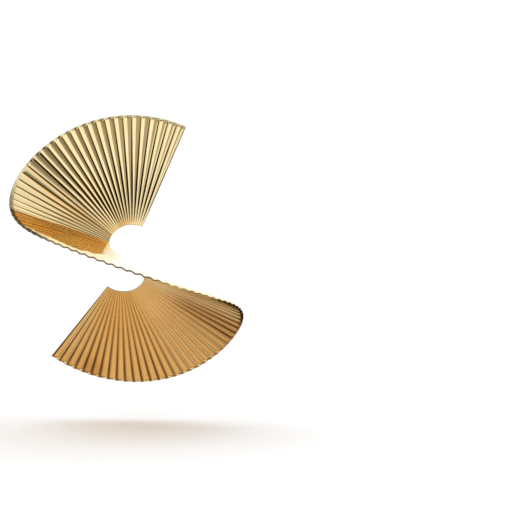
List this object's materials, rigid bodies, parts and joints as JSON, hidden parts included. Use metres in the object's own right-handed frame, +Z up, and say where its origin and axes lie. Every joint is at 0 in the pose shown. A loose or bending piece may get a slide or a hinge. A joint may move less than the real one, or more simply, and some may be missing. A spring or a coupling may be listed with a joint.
{
  "type": "pleated fan twist earring",
  "caption": "Large drop earring: one pleated sheet-metal disc, slit and folded into an S of two fans, on a straight ear post with a flat pad.",
  "frame": {"origin": "centre of the ear post pad's rear face, on the post's axis, where the front of the ear lobe meets it", "axes": "+Z up as worn, -Y to the front, towards the viewer, +X to the viewer's right; the post leaves straight to the rear, along +Y"},
  "size_m": [0.0576, 0.0544, 0.0687],
  "materials": {
    "gold_sheet": "polished gold plate on pressed sheet brass, with faint lines along the pleats",
    "gold_post": "polished gold plate, drawn wire and stamped pad"
  },
  "bodies": {
    "root": {"pleated_fan": "gold_sheet", "ear_post": "gold_post"}
  },
  "joints": []
}
